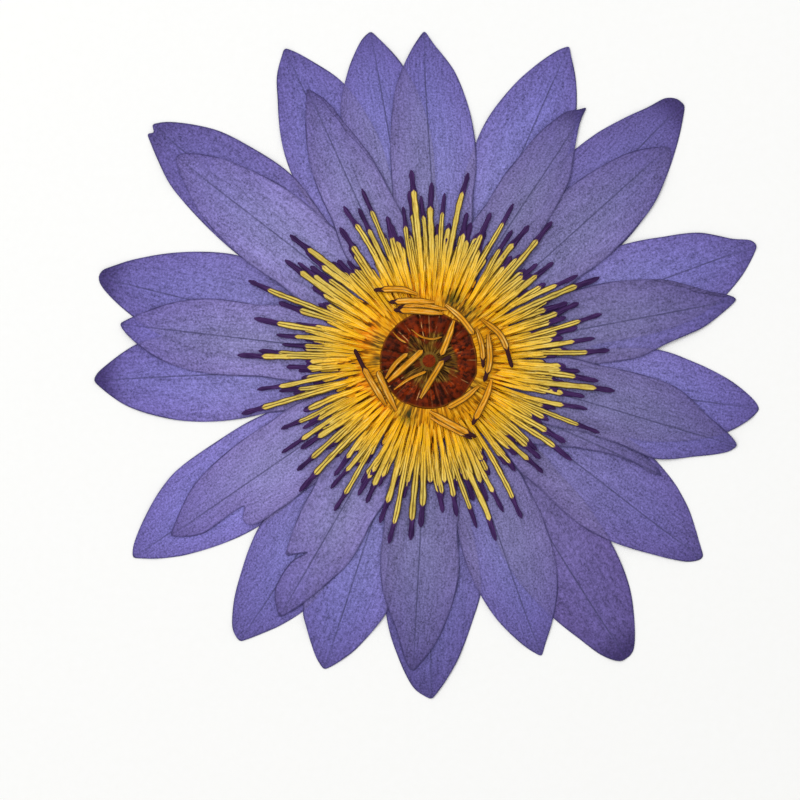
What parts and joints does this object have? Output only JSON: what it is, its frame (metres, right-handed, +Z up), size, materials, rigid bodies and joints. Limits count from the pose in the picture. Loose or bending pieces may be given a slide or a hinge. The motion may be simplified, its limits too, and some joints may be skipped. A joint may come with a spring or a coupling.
{
  "type": "pressed water lily flower",
  "caption": "Pressed water lily blossom lying flat: pointed violet petals in two rings, golden stamens with dark tips, and a round brown pistil disc.",
  "frame": {"origin": "middle of the flower on the surface it lies on, which is the flat underside of the pistil", "axes": "+Z up out of the flower's face, away from the surface; +X and +Y across the open flower"},
  "size_m": [0.1471, 0.1479, 0.0053],
  "materials": {
    "outer_petal": "dried petal, matt, thin and slightly see-through, periwinkle violet",
    "inner_petal": "dried petal, matt, grey violet where it lies over others",
    "narrow_petal": "dried petal, matt, greenish grey violet with dark margins",
    "stamen": "dried anthers and filaments, matt straw and golden yellow with dark violet tips",
    "curled_stamen": "dried filaments, satin golden orange with dark edges",
    "pistil": "dried fleshy disc, glossy dark maroon with orange blotches, dull straw brown below"
  },
  "bodies": {
    "root": {"outer_petal_01": "outer_petal", "outer_petal_02": "outer_petal", "outer_petal_03": "outer_petal", "outer_petal_04": "outer_petal", "outer_petal_05": "outer_petal", "outer_petal_06": "outer_petal", "outer_petal_07": "outer_petal", "outer_petal_08": "outer_petal", "outer_petal_09": "outer_petal", "outer_petal_10": "outer_petal", "outer_petal_11": "outer_petal", "outer_petal_12": "outer_petal", "outer_petal_13": "outer_petal", "outer_petal_14": "outer_petal", "outer_petal_15": "outer_petal", "inner_petal_01": "inner_petal", "inner_petal_02": "inner_petal", "inner_petal_03": "inner_petal", "inner_petal_04": "inner_petal", "inner_petal_05": "inner_petal", "inner_petal_06": "inner_petal", "inner_petal_07": "inner_petal", "inner_petal_08": "inner_petal", "inner_petal_09": "inner_petal", "inner_petal_10": "inner_petal", "inner_petal_11": "inner_petal", "inner_petal_12": "inner_petal", "narrow_petal": "narrow_petal", "lower_stamens_1": "stamen", "lower_stamens_2": "stamen", "lower_stamens_3": "stamen", "lower_stamens_4": "stamen", "lower_stamens_5": "stamen", "lower_stamens_6": "stamen", "middle_stamens_1": "stamen", "middle_stamens_2": "stamen", "middle_stamens_3": "stamen", "middle_stamens_4": "stamen", "middle_stamens_5": "stamen", "middle_stamens_6": "stamen", "upper_stamens_1": "stamen", "upper_stamens_2": "stamen", "upper_stamens_3": "stamen", "upper_stamens_4": "stamen", "upper_stamens_5": "stamen", "upper_stamens_6": "stamen", "curled_stamen_01": "curled_stamen", "curled_stamen_02": "curled_stamen", "curled_stamen_03": "curled_stamen", "curled_stamen_04": "curled_stamen", "curled_stamen_05": "curled_stamen", "curled_stamen_06": "curled_stamen", "curled_stamen_07": "curled_stamen", "curled_stamen_08": "curled_stamen", "curled_stamen_09": "curled_stamen", "curled_stamen_10": "curled_stamen", "curled_stamen_11": "curled_stamen", "curled_stamen_12": "curled_stamen", "curled_stamen_13": "curled_stamen", "pistil": "pistil"}
  },
  "joints": []
}
